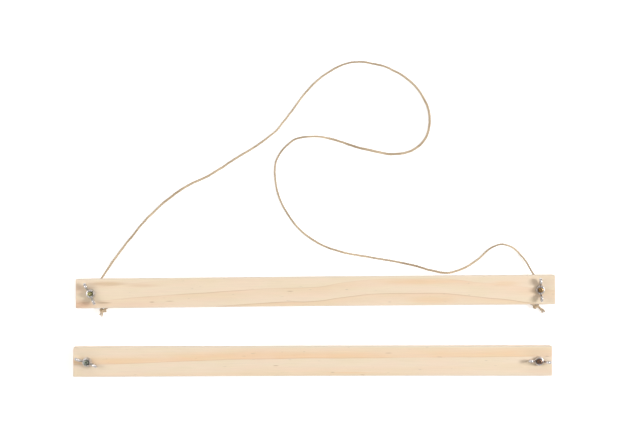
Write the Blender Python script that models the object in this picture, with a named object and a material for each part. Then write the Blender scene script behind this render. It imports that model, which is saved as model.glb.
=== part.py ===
"""Wooden clamp hanger for a tapestry: two pairs of slats drawn together by wing nuts, and a hanging cord.

The hanger lies on its back, with its front faces up (+Z), its slats along X and its cord towards +Y.
The origin is midway across the two clamps, on the surface that their backs lie on.
"""
import math

import bmesh
import bpy
from mathutils import Matrix, Vector

MM = 0.001

# Slats
SLAT_LENGTH = 406.4 * MM
SLAT_WIDTHS = {"upper": 25.0 * MM, "lower": 25.4 * MM}
SLAT_THICKNESS = 6.35 * MM
SLAT_EDGE = 0.5 * MM
BOLT_INSETS = {
    ("upper", "left"): 12.7 * MM,
    ("upper", "right"): 12.7 * MM,
    ("lower", "left"): 11.8 * MM,
    ("lower", "right"): 11.2 * MM,
}
SCREW_HOLE_RADIUS = 2.4 * MM

# How the two clamps lie
CLAMP_PITCH = 59.3 * MM
CLAMP_SHIFT = 2.4 * MM
LAY_ANGLES = {"upper": math.radians(0.5), "lower": math.radians(0.13)}

# Gaps between touching pieces
FIT_GAP = 0.3 * MM

# Countersunk M4 screws, their washers and their wing nuts
SCREW_RADIUS = 2.0 * MM
SCREW_LENGTH = 25.0 * MM
SCREW_SINK = 0.2 * MM
HEAD_RADIUS = 3.85 * MM
HEAD_RIM = 0.15 * MM
HEAD_CONE = 1.95 * MM
SINK_MOUTH_RADIUS = 4.6 * MM
SINK_DEPTH = 2.32 * MM
POINT_CHAMFER = 0.45 * MM
RECESS_DEPTH = 1.8 * MM
RECESS_MOUTH = (4.4 * MM, 1.0 * MM)
RECESS_FLOOR = (2.0 * MM, 0.7 * MM)
WASHER_RADIUS = 4.0 * MM
WASHER_THICKNESS = 0.5 * MM
WASHER_EDGE = 0.1 * MM
BORE_RADIUS = 2.3 * MM
NUT_BASE_RADIUS = 3.8 * MM
NUT_TOP_RADIUS = 3.3 * MM
NUT_HUB_HEIGHT = 4.6 * MM
NUT_EDGE = 0.2 * MM
NUT_MOUTH = 0.4 * MM
WING_THICKNESS = 2.3 * MM
WING_EDGE = 0.35 * MM
WING_ROOT = (4.7 * MM, 2.3 * MM, 1.6 * MM)
WING_LOBE = (7.1 * MM, 7.6 * MM, 2.9 * MM)
WING_ANGLES = {
    ("upper", "left"): math.radians(117.0),
    ("upper", "right"): math.radians(93.0),
    ("lower", "left"): math.radians(160.5),
    ("lower", "right"): math.radians(176.0),
}

# Cord
CORD_RADIUS = 0.9 * MM
CORD_REST_HEIGHT = 1.0 * MM
CORD_DROP_LENGTH = 34.0 * MM
CORD_BOLT_RADIUS = 3.6 * MM
CORD_TUCK = 1.5 * MM
KNOT_RADIUS = 2.1 * MM
KNOT_HEIGHT = 6.0 * MM
KNOT_SEGMENTS = (16, 10)
CORD_ROUTE = [
    (-181, 40), (-170, 57.1), (-142, 91.7), (-126, 106.7), (-108, 119.2),
    (-88, 128.7), (-69, 141.2), (-50.5, 152.2), (-33, 165.7), (-19, 182.7), (-6, 200.2), (10.5, 214.7),
    (30, 224.2), (52, 223.2), (72.5, 215.2), (89, 201.2), (98.3, 181.2), (95.5, 160.2), (83.5, 149.2),
    (67.5, 146.2), (46, 149.7), (3.5, 161.2), (-18, 157.7), (-32, 141.2), (-32.5, 119.7), (-25, 98.7),
    (-12, 81.7), (6, 68.7), (27, 61.7), (59.5, 56.2), (81, 52.2), (100, 46.9), (113, 44.7), (127, 48.1),
    (141, 56.9), (150.5, 65.5), (160.5, 69.2), (170, 65.9), (178.5, 57.7), (187.2, 43.1),
]
CORD_STEPS = 2
HITCH_STEPS = 7
KNOT_PLACES = {"left": (-179.6, 12.3), "right": (189.3, 15.9)}
TAIL_ENDS = {"left": (-182.6, 7.3), "right": (196.2, 11.1)}

# Round pieces and finishes: colour, roughness, metallic
SEGMENTS = 24
SMOOTH_ANGLE = math.radians(35)
PINE = ((0.87, 0.72, 0.53, 1), 0.6, 0)
WARM_PINE = ((0.86, 0.69, 0.50, 1), 0.6, 0)
ZINC = ((0.62, 0.63, 0.65, 1), 0.3, 1)
YELLOW_ZINC = ((0.50, 0.42, 0.22, 1), 0.3, 1)
TWINE = ((0.46, 0.33, 0.20, 1), 0.9, 0)

HALF_PITCH = CLAMP_PITCH / 2
HALF_SHIFT = CLAMP_SHIFT / 2
SIDES = {"left": -1, "right": 1}
BOLT_XS = {bolt: SIDES[bolt[1]] * (SLAT_LENGTH / 2 - inset) for bolt, inset in BOLT_INSETS.items()}
CORD_SPACE = 2 * (CORD_RADIUS + FIT_GAP)
CLAMP_GAPS = {"upper": CORD_SPACE, "lower": FIT_GAP}
LAY_RISES = {clamp: SLAT_LENGTH / 2 * math.sin(angle) for clamp, angle in LAY_ANGLES.items()}
REACHES_Y = {clamp: width / 2 + LAY_RISES[clamp] for clamp, width in SLAT_WIDTHS.items()}
MIDDLE_Y = (REACHES_Y["lower"] - REACHES_Y["upper"]) / 2
CLAMP_PLACES = {
    "upper": (HALF_SHIFT, MIDDLE_Y + HALF_PITCH),
    "lower": (-HALF_SHIFT, MIDDLE_Y - HALF_PITCH),
}
GAP_MIDDLE = SLAT_THICKNESS + CORD_SPACE / 2


def remove_objects(objects):
    for thing in list(objects):
        bpy.data.objects.remove(thing)


def add_object(name, data, parent=None):
    thing = bpy.data.objects.new(name, data)
    thing.parent = parent
    bpy.context.scene.collection.objects.link(thing)
    return thing


def add_part(name, data, finish, parent=None, place=(0, 0, 0), turn=0.0):
    """A node: its data gets a material of its own, held by the object."""
    colour, roughness, metallic = finish
    material = bpy.data.materials.new(name)
    material.use_nodes = True
    shader = material.node_tree.nodes["Principled BSDF"]
    shader.inputs["Base Color"].default_value = colour
    shader.inputs["Roughness"].default_value = roughness
    shader.inputs["Metallic"].default_value = metallic
    part = add_object(name, data, parent)
    if not data.materials:
        data.materials.append(material)
    part.material_slots[0].link = "OBJECT"
    part.material_slots[0].material = material
    part.location = place
    part.rotation_euler.z = turn
    return part


def finished(bm, name):
    """Turns a bmesh into a mesh with outward faces and smooth round sides."""
    bmesh.ops.recalc_face_normals(bm, faces=bm.faces)
    mesh = bpy.data.meshes.new(name)
    bm.to_mesh(mesh)
    bm.free()
    mesh.shade_smooth()
    mesh.set_sharp_from_angle(angle=SMOOTH_ANGLE)
    return mesh


def combined(name, blank, tools, operation):
    """The blank mesh cut by, or joined with, each tool mesh."""
    body = add_object(name, blank)
    helpers = [add_object(f"{name}_tool", tool) for tool in tools]
    for helper in helpers:
        helper.hide_render = True
        helper.display_type = "WIRE"
        step = body.modifiers.new("boolean", "BOOLEAN")
        step.operation = operation
        step.object = helper
    scene = bpy.context.evaluated_depsgraph_get()
    mesh = bpy.data.meshes.new_from_object(body.evaluated_get(scene))
    mesh.name = name
    mesh.materials.clear()
    remove_objects([body, *helpers])
    mesh.shade_smooth()
    mesh.set_sharp_from_angle(angle=SMOOTH_ANGLE)
    return mesh


def turned(name, profile, ring=False):
    """A profile of (radius, height) points turned about Z; a ring's profile closes on itself."""
    bm = bmesh.new()
    angles = [2 * math.pi * k / SEGMENTS for k in range(SEGMENTS)]
    rows = []
    for radius, height in profile:
        around = angles if radius else [0.0]
        ring_points = [(radius * math.cos(a), radius * math.sin(a), height) for a in around]
        rows.append([bm.verts.new(point) for point in ring_points])
    following = rows[1:] + rows[:1] if ring else rows[1:]
    for row, upper in zip(rows, following):
        for k in range(SEGMENTS):
            corners = [row[k % len(row)], row[(k + 1) % SEGMENTS % len(row)],
                       upper[(k + 1) % SEGMENTS % len(upper)], upper[k % len(upper)]]
            bm.faces.new(dict.fromkeys(corners))
    return finished(bm, name)


def slat_blank(clamp):
    bm = bmesh.new()
    size = Matrix.Diagonal((SLAT_LENGTH, SLAT_WIDTHS[clamp], SLAT_THICKNESS, 1))
    bmesh.ops.create_cube(bm, size=1, matrix=Matrix.Translation((0, 0, SLAT_THICKNESS / 2)) @ size)
    bmesh.ops.bevel(bm, geom=bm.edges, offset=SLAT_EDGE, segments=2, profile=0.5, affect="EDGES")
    return finished(bm, "slat_blank")


def at_bolts(clamp, mesh):
    """Two copies of a tool mesh, one at each bolt of a clamp's slat."""
    copies = []
    for side in SIDES:
        copy = mesh.copy()
        copy.transform(Matrix.Translation((BOLT_XS[clamp, side], 0, 0)))
        copies.append(copy)
    return copies


def front_slat_mesh(clamp):
    past = SLAT_THICKNESS + MM
    hole = turned("hole", [(0, -MM), (SCREW_HOLE_RADIUS, -MM), (SCREW_HOLE_RADIUS, past), (0, past)])
    return combined("front_slat", slat_blank(clamp), at_bolts(clamp, hole), "DIFFERENCE")


def back_slat_mesh(clamp):
    past = SLAT_THICKNESS + MM
    sink = turned("sink", [(0, -MM), (SINK_MOUTH_RADIUS, -MM), (SINK_MOUTH_RADIUS, 0),
                           (SCREW_HOLE_RADIUS, SINK_DEPTH), (SCREW_HOLE_RADIUS, past), (0, past)])
    return combined("back_slat", slat_blank(clamp), at_bolts(clamp, sink), "DIFFERENCE")


def recess_arm(turn):
    """One arm of the cross recess, tapered from the head's face into the head."""
    bm = bmesh.new()
    mouth = SCREW_SINK - MM / 2
    floor = SCREW_SINK + RECESS_DEPTH
    rows = []
    for height, (length, width) in ((mouth, RECESS_MOUTH), (floor, RECESS_FLOOR)):
        corners = [(-1, -1), (1, -1), (1, 1), (-1, 1)]
        rows.append([bm.verts.new((x * length / 2, y * width / 2, height)) for x, y in corners])
    bm.faces.new(rows[0])
    bm.faces.new(rows[1])
    for k in range(4):
        bm.faces.new((rows[0][k], rows[0][k - 1], rows[1][k - 1], rows[1][k]))
    bmesh.ops.rotate(bm, verts=bm.verts, matrix=Matrix.Rotation(turn, 3, "Z"))
    return finished(bm, "recess_arm")


def screw_mesh():
    """Countersunk machine screw, head down at the slat's back."""
    end = SCREW_SINK + SCREW_LENGTH
    neck = SCREW_SINK + HEAD_RIM + HEAD_CONE
    profile = [(0, SCREW_SINK), (HEAD_RADIUS - HEAD_RIM, SCREW_SINK), (HEAD_RADIUS, SCREW_SINK + HEAD_RIM),
               (SCREW_RADIUS, neck), (SCREW_RADIUS, end - POINT_CHAMFER),
               (SCREW_RADIUS - POINT_CHAMFER, end), (0, end)]
    arms = [recess_arm(0.0), recess_arm(math.pi / 2)]
    return combined("screw", turned("screw_blank", profile), arms, "DIFFERENCE")


def washer_mesh():
    top = WASHER_THICKNESS
    rim = WASHER_RADIUS
    profile = [(BORE_RADIUS, 0), (rim - WASHER_EDGE, 0), (rim, WASHER_EDGE), (rim, top - WASHER_EDGE),
               (rim - WASHER_EDGE, top), (BORE_RADIUS, top)]
    return turned("washer", profile, ring=True)


def wing_outline(shrink):
    """A wing seen from its flat side: a hull round a small root circle and a larger lobe circle."""
    root, lobe = Vector(WING_ROOT[:2]), Vector(WING_LOBE[:2])
    root_radius, lobe_radius = WING_ROOT[2] - shrink, WING_LOBE[2] - shrink
    along = lobe - root
    heading = math.atan2(along.y, along.x)
    spread = math.acos((root_radius - lobe_radius) / along.length)
    start, end = heading - spread, heading + spread
    count = SEGMENTS // 2
    outline = []
    for centre, radius, first, last in ((lobe, lobe_radius, start, end),
                                        (root, root_radius, end, start + 2 * math.pi)):
        for k in range(count + 1):
            angle = first + (last - first) * k / count
            outline.append(centre + radius * Vector((math.cos(angle), math.sin(angle))))
    return outline


def wing_mesh(side):
    """One wing, a flat ear with rounded edges, standing in the XZ plane."""
    half = WING_THICKNESS / 2
    flat = half - WING_EDGE
    bm = bmesh.new()
    rows = []
    for depth, shrink in ((-half, WING_EDGE), (-flat, 0), (flat, 0), (half, WING_EDGE)):
        rows.append([bm.verts.new((side * p.x, depth, p.y)) for p in wing_outline(shrink)])
    bm.faces.new(rows[0])
    bm.faces.new(rows[-1])
    for row, upper in zip(rows, rows[1:]):
        for k in range(len(row)):
            bm.faces.new((row[k], row[k - 1], upper[k - 1], upper[k]))
    return finished(bm, "wing")


def wing_nut_mesh():
    top = NUT_HUB_HEIGHT
    profile = [(BORE_RADIUS, 0), (NUT_BASE_RADIUS, 0), (NUT_TOP_RADIUS, top - NUT_EDGE),
               (NUT_TOP_RADIUS - NUT_EDGE, top), (BORE_RADIUS + NUT_MOUTH, top),
               (BORE_RADIUS, top - NUT_MOUTH)]
    wings = [wing_mesh(side) for side in SIDES.values()]
    return combined("wing_nut", turned("hub", profile, ring=True), wings, "UNION")


def smooth_curve(points, steps):
    """A centripetal Catmull-Rom curve through the points, with that many steps to each stretch."""
    ends = [2 * points[0] - points[1], *points, 2 * points[-1] - points[-2]]
    curve = []
    for a, b, c, d in zip(ends, ends[1:], ends[2:], ends[3:]):
        t1 = (b - a).length ** 0.5
        t2 = t1 + (c - b).length ** 0.5
        t3 = t2 + (d - c).length ** 0.5
        for k in range(steps):
            t = t1 + (t2 - t1) * k / steps
            ab = a.lerp(b, t / t1)
            bc = b.lerp(c, (t - t1) / (t2 - t1))
            cd = c.lerp(d, (t - t2) / (t3 - t2))
            early = ab.lerp(bc, t / t2)
            late = bc.lerp(cd, (t - t1) / (t3 - t1))
            curve.append(early.lerp(late, (t - t1) / (t2 - t1)))
    return [*curve, points[-1]]


def tube(name, points):
    data = bpy.data.curves.new(name, "CURVE")
    data.dimensions = "3D"
    data.bevel_depth = CORD_RADIUS
    data.bevel_resolution = 2
    data.use_fill_caps = True
    spline = data.splines.new("POLY")
    spline.points.add(len(points) - 1)
    for slot, point in zip(spline.points, points):
        slot.co = (*point, 1)
    return data


def bolt_place(clamp, side):
    """The foot of a bolt's axis in world coordinates."""
    turn = Matrix.Rotation(LAY_ANGLES[clamp], 3, "Z")
    return Vector((*CLAMP_PLACES[clamp], 0)) + turn @ Vector((BOLT_XS[clamp, side], 0, 0))


def tangent_angle(target, sign, way):
    """The angle on the cord's circle round a bolt from which a straight run reaches the target."""
    reach = math.acos(CORD_BOLT_RADIUS / target.length)
    return math.atan2(target.y, -sign * target.x) + way * reach


def hitch_route(side):
    """The cord's way through the upper clamp: in at the top edge, round the bolt and out to its knot."""
    turn = Matrix.Rotation(-LAY_ANGLES["upper"], 3, "Z")
    bolt = bolt_place("upper", side)
    sign = SIDES[side]
    outer = CORD_ROUTE[0] if side == "left" else CORD_ROUTE[-1]
    upper, lower = [turn @ (Vector((*place, 0)) * MM - bolt) for place in (outer, KNOT_PLACES[side])]
    first = tangent_angle(upper, sign, 1)
    last = tangent_angle(lower, sign, -1) + 2 * math.pi
    arc = []
    for k in range(HITCH_STEPS + 1):
        angle = first + (last - first) * k / HITCH_STEPS
        arc.append(CORD_BOLT_RADIUS * Vector((-sign * math.cos(angle), math.sin(angle), 0)))
    upper_end = upper - (upper - arc[0]).normalized() * CORD_TUCK
    lower_end = lower - (lower - arc[-1]).normalized() * (KNOT_RADIUS + FIT_GAP)
    back = Matrix.Rotation(LAY_ANGLES["upper"], 3, "Z")
    lift = Vector((0, 0, GAP_MIDDLE))
    return [bolt + back @ point + lift for point in (upper_end, *arc, lower_end)]


def cord_height(run):
    """The cord leaves the clamp at the middle of the gap and comes down to lie on the surface."""
    left = max(0.0, 1 - run / CORD_DROP_LENGTH)
    return CORD_REST_HEIGHT + (GAP_MIDDLE - CORD_REST_HEIGHT) * left**2


def cord_centre_line(hitches):
    """The free cord, from just inside the clamp at one end to just inside it at the other."""
    flat = smooth_curve([Vector((x, y, 0)) * MM for x, y in CORD_ROUTE], CORD_STEPS)
    runs = [0.0]
    for a, b in zip(flat, flat[1:]):
        runs.append(runs[-1] + (b - a).length)
    line = [Vector((p.x, p.y, cord_height(min(run, runs[-1] - run)))) for p, run in zip(flat, runs)]
    inner = []
    for hitch, edge in ((hitches["left"][0], line[0]), (hitches["right"][0], line[-1])):
        inner.append(hitch + (edge - hitch).normalized() * FIT_GAP)
    return [inner[0], *line, inner[1]]


def knot_mesh():
    bm = bmesh.new()
    around, rows = KNOT_SEGMENTS
    bmesh.ops.create_uvsphere(bm, u_segments=around, v_segments=rows, radius=KNOT_RADIUS)
    return finished(bm, "knot")


def tail_route(side):
    """The loose end: out of the knot's lower side and down onto the surface."""
    knot = Vector((*KNOT_PLACES[side], KNOT_HEIGHT / MM)) * MM
    end = Vector((*TAIL_ENDS[side], CORD_REST_HEIGHT / MM)) * MM
    start = knot + (end - knot).normalized() * (KNOT_RADIUS + FIT_GAP)
    return [start, start.lerp(end, 0.5), end]


def build_clamp(clamp, meshes):
    """A back slat with its two screws, and the front slat, washers and wing nuts that lift off it."""
    wood = PINE if clamp == "upper" else WARM_PINE
    base = add_object(f"{clamp}_clamp", None)
    base.location = (*CLAMP_PLACES[clamp], 0)
    base.rotation_euler.z = LAY_ANGLES[clamp]
    front_height = SLAT_THICKNESS + CLAMP_GAPS[clamp]
    washer_height = front_height + SLAT_THICKNESS + FIT_GAP
    nut_height = washer_height + WASHER_THICKNESS + FIT_GAP
    add_part(f"{clamp}_back_slat", back_slat_mesh(clamp), wood, base)
    add_part(f"{clamp}_front_slat", front_slat_mesh(clamp), wood, base, (0, 0, front_height))
    for side in SIDES:
        x = BOLT_XS[clamp, side]
        name = f"{clamp}_{side}"
        add_part(f"{name}_screw", meshes["screw"], YELLOW_ZINC, base, (x, 0, 0))
        add_part(f"{name}_washer", meshes["washer"], ZINC, base, (x, 0, washer_height))
        add_part(f"{name}_wing_nut", meshes["wing_nut"], ZINC, base, (x, 0, nut_height),
                 WING_ANGLES[clamp, side] - LAY_ANGLES[clamp])


def build_cord():
    """The cord's plain solids: the free cord, and at each end its hitch round a bolt, knot and tail."""
    hitches = {side: hitch_route(side) for side in SIDES}
    add_part("hanging_cord", tube("hanging_cord", cord_centre_line(hitches)), TWINE)
    for side, hitch in hitches.items():
        add_part(f"{side}_cord_hitch", tube(f"{side}_cord_hitch", hitch), TWINE)
        knot_place = Vector((*KNOT_PLACES[side], KNOT_HEIGHT / MM)) * MM
        add_part(f"{side}_cord_knot", knot_mesh(), TWINE, place=knot_place)
        add_part(f"{side}_cord_tail", tube(f"{side}_cord_tail", tail_route(side)), TWINE)


def main():
    remove_objects(bpy.data.objects)
    meshes = {"screw": screw_mesh(), "washer": washer_mesh(), "wing_nut": wing_nut_mesh()}
    for clamp in CLAMP_PLACES:
        build_clamp(clamp, meshes)
    build_cord()


main()
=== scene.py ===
"""The looks of a wooden clamp hanger: pine slats, zinc-plated hardware and a three-ply twine cord."""
import math

import bmesh
import bpy
import numpy as np
from mathutils import Matrix, Vector
from numpy.linalg import norm


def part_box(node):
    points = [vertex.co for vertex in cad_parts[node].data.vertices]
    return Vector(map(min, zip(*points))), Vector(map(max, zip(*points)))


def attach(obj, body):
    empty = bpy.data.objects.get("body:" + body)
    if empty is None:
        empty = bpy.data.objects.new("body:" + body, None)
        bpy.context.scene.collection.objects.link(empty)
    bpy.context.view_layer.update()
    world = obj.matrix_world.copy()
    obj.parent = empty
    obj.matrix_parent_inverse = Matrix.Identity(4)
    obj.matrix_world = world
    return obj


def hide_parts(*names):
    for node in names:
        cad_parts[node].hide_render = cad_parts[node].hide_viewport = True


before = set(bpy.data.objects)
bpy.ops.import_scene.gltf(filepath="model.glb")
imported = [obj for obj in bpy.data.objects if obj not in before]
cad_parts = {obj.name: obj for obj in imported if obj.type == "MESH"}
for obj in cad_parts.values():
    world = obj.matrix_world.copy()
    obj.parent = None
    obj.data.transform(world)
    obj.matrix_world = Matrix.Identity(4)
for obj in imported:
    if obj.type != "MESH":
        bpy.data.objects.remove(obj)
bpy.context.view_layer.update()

MM = 0.001

# Slats: sizes in metres, and the bolts' places in millimetres from a slat's middle
SLAT_LENGTH = 406.4 * MM
SLAT_WIDTHS = {"upper": 25.0 * MM, "lower": 25.4 * MM}
SLAT_THICKNESS = 6.35 * MM
SIDES = {"left": -1, "right": 1}
LAY_ANGLES = {"upper": math.radians(0.5), "lower": math.radians(0.13)}
BOLT_XS = {
    ("upper", "left"): -190.5,
    ("upper", "right"): 190.5,
    ("lower", "left"): -191.4,
    ("lower", "right"): 192.0,
}

# Cord: sizes in metres, places in millimetres in the frame, and headings and rolls in degrees
CORD_REST_HEIGHT = 1.0 * MM
CORD_DROP_LENGTH = 34.0 * MM
CORD_BOLT_RADIUS = 3.6 * MM
CORD_ROUTE = [
    (-181, 40), (-170, 57.1), (-142, 91.7), (-126, 106.7), (-108, 119.2),
    (-88, 128.7), (-69, 141.2), (-50.5, 152.2), (-33, 165.7), (-19, 182.7), (-6, 200.2), (10.5, 214.7),
    (30, 224.2), (52, 223.2), (72.5, 215.2), (89, 201.2), (98.3, 181.2), (95.5, 160.2), (83.5, 149.2),
    (67.5, 146.2), (46, 149.7), (3.5, 161.2), (-18, 157.7), (-32, 141.2), (-32.5, 119.7), (-25, 98.7),
    (-12, 81.7), (6, 68.7), (27, 61.7), (59.5, 56.2), (81, 52.2), (100, 46.9), (113, 44.7), (127, 48.1),
    (141, 56.9), (150.5, 65.5), (160.5, 69.2), (170, 65.9), (178.5, 57.7), (187.2, 43.1),
]
HITCH_BENDS = {
    "left": [(-175.0, 25.2), (-170.8, 22.9), (-170.2, 19.2), (-173.2, 16.8)],
    "right": [(185.0, 25.0), (181.9, 22.3), (182.2, 19.8)],
}
KNOT_PLACES = {"left": (-179.6, 12.3), "right": (189.3, 15.9)}
KNOT_SHIFTS = {"left": (0.0, 0.45, 0.8), "right": (0.0, 0.45, 0.2)}
KNOT_HEIGHT = 6.0
KNOT_HEADINGS = {"left": 214.0, "right": -24.0}
KNOT_SLOPE = -0.28
KNOT_ROLLS = {"left": 10.0, "right": 190.0}
TAIL_ENDS = {"left": (-182.6, 7.3), "right": (196.2, 11.1)}
TAIL_FRAY = {"left": 2.2, "right": 0.7}

# Wing nuts: the way each pair of ears points, in degrees
WING_ANGLES = {
    ("upper", "left"): 117.0,
    ("upper", "right"): 93.0,
    ("lower", "left"): 160.5,
    ("lower", "right"): 176.0,
}


# ------ materials

def new_material(name):
    material = bpy.data.materials.new(name)
    material.use_nodes = True
    tree = material.node_tree
    tree.nodes.clear()
    return material, tree


def add(tree, kind, inputs=None, **settings):
    """Adds a shader node; inputs gives each socket's value, or the socket that feeds it."""
    node = tree.nodes.new("ShaderNode" + kind)
    for key, value in settings.items():
        setattr(node, key, value)
    for key, value in (inputs or {}).items():
        if isinstance(value, bpy.types.NodeSocket):
            tree.links.new(value, node.inputs[key])
        else:
            node.inputs[key].default_value = value
    return node


def maths(tree, operation, *values, clamp=False):
    node = add(tree, "Math", dict(enumerate(values)), operation=operation, use_clamp=clamp)
    return node.outputs[0]


def times(tree, first, second):
    return maths(tree, "MULTIPLY", first, second)


def scaled(tree, value, factor, base, clamp=False):
    return maths(tree, "MULTIPLY_ADD", value, factor, base, clamp=clamp)


def swayed(tree, base, value, amount, clamp=False):
    """The base plus a noise value that is centred on zero and scaled."""
    return scaled(tree, maths(tree, "SUBTRACT", value, 0.5), amount, base, clamp)


def blend(tree, factor, first, second, mode="MIX"):
    mix = add(tree, "Mix", {0: factor, 6: first, 7: second}, data_type="RGBA", blend_type=mode)
    return mix.outputs[2]


def noise(tree, vector, scale=1.0, detail=2.0, roughness=0.5, distortion=0.0):
    sockets = {"Vector": vector, "Scale": scale, "Detail": detail, "Roughness": roughness,
               "Distortion": distortion}
    return add(tree, "TexNoise", sockets).outputs["Fac"]


def spread(tree, value, low, high, to_low=0.0, to_high=1.0):
    """Maps low..high onto to_low..to_high with a smooth step, held at both ends."""
    sockets = {"Value": value, "From Min": low, "From Max": high, "To Min": to_low, "To Max": to_high}
    return add(tree, "MapRange", sockets, interpolation_type="SMOOTHSTEP").outputs[0]


def coordinates(tree, kind="Object"):
    return add(tree, "TexCoord").outputs[kind]


def split(tree, vector):
    return add(tree, "SeparateXYZ", {0: vector}).outputs


def bumped(tree, height, strength, depth):
    """A normal with a fine relief; its depth is in millimetres."""
    sockets = {"Strength": strength, "Distance": depth * MM, "Height": height}
    return add(tree, "Bump", sockets).outputs[0]


def stretched(tree, vector, scale, offset=(0, 0, 0)):
    return add(tree, "Mapping", {"Vector": vector, "Scale": scale, "Location": offset}).outputs[0]


def finish_shader(tree, sockets):
    shader = add(tree, "BsdfPrincipled", sockets)
    add(tree, "OutputMaterial", {"Surface": shader.outputs[0]})


PALE_WOOD = (0.79, 0.65, 0.485, 1)
WARM_WOOD = (0.77, 0.57, 0.385, 1)
OLIVE_TINT = (0.76, 0.64, 0.43, 1)
ROSE_TINT = (0.83, 0.63, 0.49, 1)
EDGE_BROWN = (0.56, 0.37, 0.22, 1)
# The grey of the painted shade along the slats' long edges
ARRIS_SHADE = (0.72, 0.65, 0.56, 1)
END_PALE = (0.7, 0.52, 0.34, 1)
END_DARK = (0.45, 0.27, 0.14, 1)
DRAWN_RING = 20.0
GRAIN_LOW, GRAIN_HIGH = -26 * MM, 16 * MM
SLOW_BEND, SMALL_BEND = 2.4 * MM, 0.9 * MM
RING_BOW, RING_TILT = 40.0, 0.9
ARRIS_REACH = 1.3 * MM

# Noise drawn out along the slat: scale along and across it, offset, detail and roughness
GRAIN_NOISES = {
    "slow": ((9, 45), (0, 0), 2, 0.5),
    "wavy": ((38, 160), (3, 0), 3, 0.5),
    "fibre": ((22, 900), (7, 1), 4, 0.6),
    "fine": ((75, 3300), (2, 8), 3, 0.6),
    "coarse": ((7, 210), (1, 5), 3, 0.55),
    "patch": ((16, 75), (5, 9), 2, 0.5),
    "hue": ((26, 130), (9, 4), 2, 0.5),
    "dash": ((120, 900), (11, 2), 1, 0.5),
}


def level_curve(tree, along, points):
    """A height that follows (place, height) points along the slat, both in metres."""
    span = GRAIN_HIGH - GRAIN_LOW
    place = scaled(tree, along, 1 / SLAT_LENGTH, 0.5)
    node = add(tree, "FloatCurve", {"Factor": 1.0, "Value": place})
    curve = node.mapping.curves[0]
    spots = [(x / SLAT_LENGTH + 0.5, (y - GRAIN_LOW) / span) for x, y in points]
    curve.points[0].location = spots[0]
    curve.points[-1].location = spots[-1]
    for spot in spots[1:-1]:
        curve.points.new(*spot)
    node.mapping.update()
    return scaled(tree, node.outputs[0], span, GRAIN_LOW)


def grain_noises(tree, place, seed):
    """The noises of the grain, from slow bends of the rings down to single fibres."""
    found = {}
    for name, ((along, across), offset, detail, roughness) in GRAIN_NOISES.items():
        vector = stretched(tree, place, (along, across, across), (seed, *offset))
        found[name] = noise(tree, vector, detail=detail, roughness=roughness)
    return found


def growth_rings(tree, place, grain, line, spacing, side):
    """The ring number at a place: the drawn line is where one ring ends and the drawn ring begins."""
    x, y, z = split(tree, place)
    drift = swayed(tree, level_curve(tree, x, line), grain["slow"], SLOW_BEND)
    drift = swayed(tree, drift, grain["wavy"], SMALL_BEND)
    across = maths(tree, "SUBTRACT", y, drift)
    bow = times(tree, z, z)
    depth = scaled(tree, bow, RING_BOW, times(tree, z, RING_TILT))
    return scaled(tree, maths(tree, "ADD", across, depth), side / spacing, DRAWN_RING)


def wood_tone(tree, grain, late, strength, pale, warm):
    """Early and late wood, in patches that lean to olive or to rose."""
    tone = times(tree, late, spread(tree, grain["patch"], 0.25, 0.65, 0.5, 1.0))
    tone = times(tree, tone, strength)
    tone = swayed(tree, tone, grain["coarse"], 0.8, clamp=True)
    colour = blend(tree, tone, pale, warm)
    lean = spread(tree, grain["hue"], 0.3, 0.7, -1.0, 1.0)
    for sign, tint in ((1.0, OLIVE_TINT), (-1.0, ROSE_TINT)):
        amount = maths(tree, "MAXIMUM", times(tree, lean, sign), 0.0)
        colour = blend(tree, times(tree, amount, 0.3), colour, tint)
    return colour


def stained(tree, colour, place, sway, spot, size, amount, stain):
    """Blends in a soft oval stain; its spot and half sizes are in millimetres on the slat's face."""
    spot = (spot[0] * MM, spot[1] * MM, 0)
    away = add(tree, "VectorMath", {0: place, 1: spot}, operation="SUBTRACT").outputs[0]
    away = stretched(tree, away, (1 / (size[0] * MM), 1 / (size[1] * MM), 0))
    away = add(tree, "VectorMath", {0: away}, operation="LENGTH").outputs["Value"]
    away = swayed(tree, away, sway, 0.8)
    return blend(tree, spread(tree, away, 0.2, 1.1, amount, 0.0), colour, stain)


def ring_edges(tree, colour, place, ring, phase, grain, strength, crisp, dies):
    """Draws a thin dark line where one ring ends; dies names a ring whose line fades out, and where."""
    line_in = spread(tree, phase, 0.0, 0.07, 1.0, 0.0)
    line_out = spread(tree, phase, 0.985, 1.0)
    edge = maths(tree, "MAXIMUM", line_in, line_out)
    thin = times(tree, edge, spread(tree, grain["patch"], 0.32, 0.55, 0.12, crisp))
    thin = times(tree, thin, strength)
    if dies:
        number, start, end = dies
        x = split(tree, place)[0]
        chosen = maths(tree, "COMPARE", ring, number, 0.4)
        gone = times(tree, spread(tree, x, start, end), chosen)
        thin = times(tree, thin, scaled(tree, gone, -0.75, 1.0))
    return blend(tree, thin, colour, EDGE_BROWN)


def painted_arris_shade(tree, colour, place, reach):
    """Greys the long edges, reach away from the slat's middle, with painted shade where the slat's sides fall
    into shadow.
    """
    _, y, z = split(tree, place)
    low_edge = spread(tree, z, -SLAT_THICKNESS, 1.0 * MM - SLAT_THICKNESS, 1.0, 0.0)
    rim = maths(tree, "MAXIMUM", spread(tree, z, -1.0 * MM, 0.0), low_edge)
    outer = spread(tree, maths(tree, "ABSOLUTE", y), reach - ARRIS_REACH, reach - 0.1 * MM)
    arris = times(tree, rim, outer)
    return blend(tree, times(tree, arris, 0.6), colour, ARRIS_SHADE)


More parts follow.
